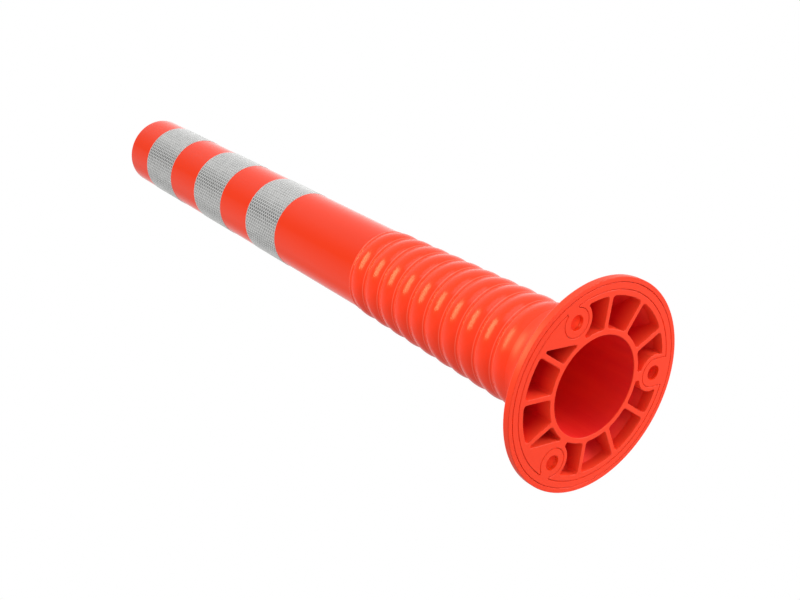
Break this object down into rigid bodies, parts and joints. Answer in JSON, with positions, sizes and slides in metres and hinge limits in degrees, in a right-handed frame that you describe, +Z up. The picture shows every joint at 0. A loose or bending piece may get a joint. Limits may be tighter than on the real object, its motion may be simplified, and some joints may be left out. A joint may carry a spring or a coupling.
{
  "type": "delineator post",
  "caption": "Flexible upright road delineator post: ribbed round bolt-down foot, corrugated bending stem, tapered tube with retroreflective bands.",
  "frame": {"origin": "middle of the round underside that stands on the road", "axes": "+Z up along the post, +X towards boss A of the foot, which lies on the plane of symmetry Y = 0"},
  "size_m": [0.2, 0.2, 0.744],
  "materials": {
    "foot_plastic": "satin, soft moulded elastomer",
    "tube_plastic": "glossy",
    "reflective_sheet": "prismatic reflective sheeting, silver grey"
  },
  "bodies": {
    "base": {"foot": "foot_plastic", "mounting_ring": "foot_plastic", "stem_web_1": "foot_plastic"},
    "ridge_1": {"stem_ring_1": "foot_plastic", "stem_web_2": "foot_plastic"},
    "ridge_2": {"stem_ring_2": "foot_plastic", "stem_web_3": "foot_plastic"},
    "ridge_3": {"stem_ring_3": "foot_plastic", "stem_web_4": "foot_plastic"},
    "ridge_4": {"stem_ring_4": "foot_plastic", "stem_web_5": "foot_plastic"},
    "ridge_5": {"stem_ring_5": "foot_plastic", "stem_web_6": "foot_plastic"},
    "ridge_6": {"stem_ring_6": "foot_plastic", "stem_web_7": "foot_plastic"},
    "ridge_7": {"stem_ring_7": "foot_plastic", "stem_web_8": "foot_plastic"},
    "ridge_8": {"stem_ring_8": "foot_plastic", "stem_web_9": "foot_plastic"},
    "upper": {"stem_collar": "foot_plastic", "tube": "tube_plastic", "top_cap": "tube_plastic", "band_1": "reflective_sheet", "band_2": "reflective_sheet", "band_3": "reflective_sheet"}
  },
  "joints": [
    {"name": "stem_bend_1", "type": "hinge", "parent": "base", "child": "ridge_1", "pos_m": [0, 0, 0.0785], "axis": [0, 1, 0], "range_deg": [-10, 10], "stiffness_Nm_per_rad": 260, "deforming": ["stem_web_1"]},
    {"name": "stem_bend_2", "type": "hinge", "parent": "ridge_1", "child": "ridge_2", "pos_m": [0, 0, 0.1025], "axis": [0, 1, 0], "range_deg": [-10, 10], "stiffness_Nm_per_rad": 260, "deforming": ["stem_web_2"]},
    {"name": "stem_bend_3", "type": "hinge", "parent": "ridge_2", "child": "ridge_3", "pos_m": [0, 0, 0.1265], "axis": [0, 1, 0], "range_deg": [-10, 10], "stiffness_Nm_per_rad": 260, "deforming": ["stem_web_3"]},
    {"name": "stem_bend_4", "type": "hinge", "parent": "ridge_3", "child": "ridge_4", "pos_m": [0, 0, 0.1505], "axis": [0, 1, 0], "range_deg": [-10, 10], "stiffness_Nm_per_rad": 260, "deforming": ["stem_web_4"]},
    {"name": "stem_bend_5", "type": "hinge", "parent": "ridge_4", "child": "ridge_5", "pos_m": [0, 0, 0.1745], "axis": [0, 1, 0], "range_deg": [-10, 10], "stiffness_Nm_per_rad": 260, "deforming": ["stem_web_5"]},
    {"name": "stem_bend_6", "type": "hinge", "parent": "ridge_5", "child": "ridge_6", "pos_m": [0, 0, 0.1985], "axis": [0, 1, 0], "range_deg": [-10, 10], "stiffness_Nm_per_rad": 260, "deforming": ["stem_web_6"]},
    {"name": "stem_bend_7", "type": "hinge", "parent": "ridge_6", "child": "ridge_7", "pos_m": [0, 0, 0.2225], "axis": [0, 1, 0], "range_deg": [-10, 10], "stiffness_Nm_per_rad": 260, "deforming": ["stem_web_7"]},
    {"name": "stem_bend_8", "type": "hinge", "parent": "ridge_7", "child": "ridge_8", "pos_m": [0, 0, 0.2465], "axis": [0, 1, 0], "range_deg": [-10, 10], "stiffness_Nm_per_rad": 260, "deforming": ["stem_web_8"]},
    {"name": "stem_bend_9", "type": "hinge", "parent": "ridge_8", "child": "upper", "pos_m": [0, 0, 0.2705], "axis": [0, 1, 0], "range_deg": [-10, 10], "stiffness_Nm_per_rad": 260, "deforming": ["stem_web_9"]}
  ],
  "couplings": [
    {"joint": "stem_bend_2", "follows": "stem_bend_1", "ratio": 1},
    {"joint": "stem_bend_3", "follows": "stem_bend_1", "ratio": 1},
    {"joint": "stem_bend_4", "follows": "stem_bend_1", "ratio": 1},
    {"joint": "stem_bend_5", "follows": "stem_bend_1", "ratio": 1},
    {"joint": "stem_bend_6", "follows": "stem_bend_1", "ratio": 1},
    {"joint": "stem_bend_7", "follows": "stem_bend_1", "ratio": 1},
    {"joint": "stem_bend_8", "follows": "stem_bend_1", "ratio": 1},
    {"joint": "stem_bend_9", "follows": "stem_bend_1", "ratio": 1}
  ]
}
